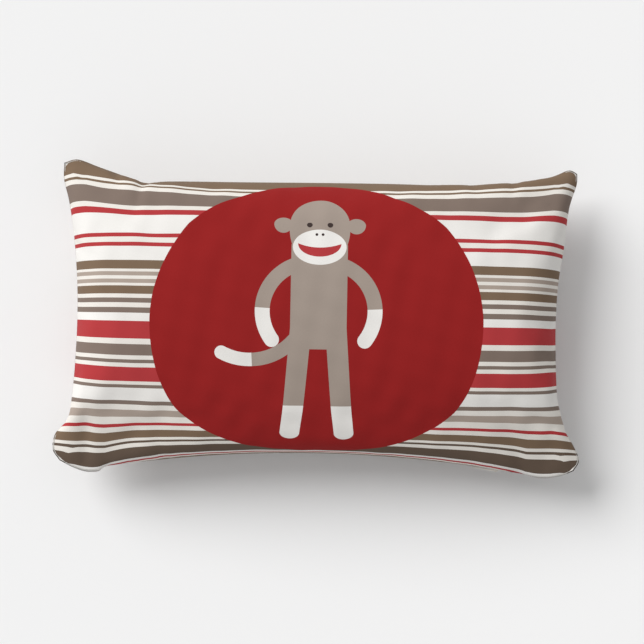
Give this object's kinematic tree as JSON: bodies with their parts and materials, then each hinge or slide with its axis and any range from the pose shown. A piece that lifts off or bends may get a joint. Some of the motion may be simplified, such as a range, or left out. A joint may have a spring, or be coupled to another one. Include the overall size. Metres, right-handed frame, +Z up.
{
  "type": "lumbar throw cushion",
  "caption": "Stuffed rectangular lumbar cushion with a printed cloth cover, a coil zip in one long edge and a sewn fibre-filled insert.",
  "frame": {"origin": "centre of the flat patch that the cushion rests on, in the middle of its length and width", "axes": "+Z up out of the printed face, +X along the long side towards the closed end of the zip, -Y towards the long edge that holds the zip"},
  "size_m": [0.5252, 0.3216, 0.1161],
  "materials": {
    "printed_cloth": "plain-weave polyester-cotton with a matte dye print",
    "striped_cloth": "plain-weave polyester-cotton with a matte striped print",
    "seam_thread": "spun polyester sewing thread",
    "overlock_thread": "textured polyester thread",
    "satin_label": "satin ribbon, blank",
    "zip_tape": "herringbone woven polyester tape",
    "zip_coil": "semi-matte nylon monofilament",
    "zip_stop_metal": "bright crimped aluminium",
    "slider_metal": "smooth enamel on die-cast zinc",
    "insert_cloth": "matte non-woven polyester",
    "insert_thread": "spun polyester sewing thread",
    "polyester_fibre": "crimped hollow fibre"
  },
  "bodies": {
    "cover": {"cover_front": "printed_cloth", "cover_back": "striped_cloth", "cover_seam_thread": "seam_thread", "cover_overlock_thread": "overlock_thread", "care_label": "satin_label", "zip_tape_front": "zip_tape", "zip_tape_back": "zip_tape", "zip_coil_front": "zip_coil", "zip_coil_back": "zip_coil", "zip_stitching_front": "seam_thread", "zip_stitching_back": "seam_thread", "zip_top_stops": "zip_stop_metal", "zip_bottom_stop": "zip_stop_metal", "zip_end_tacks": "seam_thread", "insert_front": "insert_cloth", "insert_back": "insert_cloth", "insert_seam_thread": "insert_thread", "insert_label": "satin_label", "fibre_fill": "polyester_fibre"},
    "slider": {"zip_slider": "slider_metal"},
    "pull": {"zip_pull": "slider_metal"}
  },
  "joints": [
    {"name": "zip_run", "type": "hinge", "parent": "cover", "child": "slider", "pos_m": [0, -1.4125, 0.054], "axis": [0, 0, 1], "range_deg": [0, 16.42]},
    {"name": "pull_swing", "type": "hinge", "parent": "slider", "child": "pull", "pos_m": [0.18215, -0.14962, 0.054], "axis": [0, 0, 1], "range_deg": [0, 180]}
  ]
}
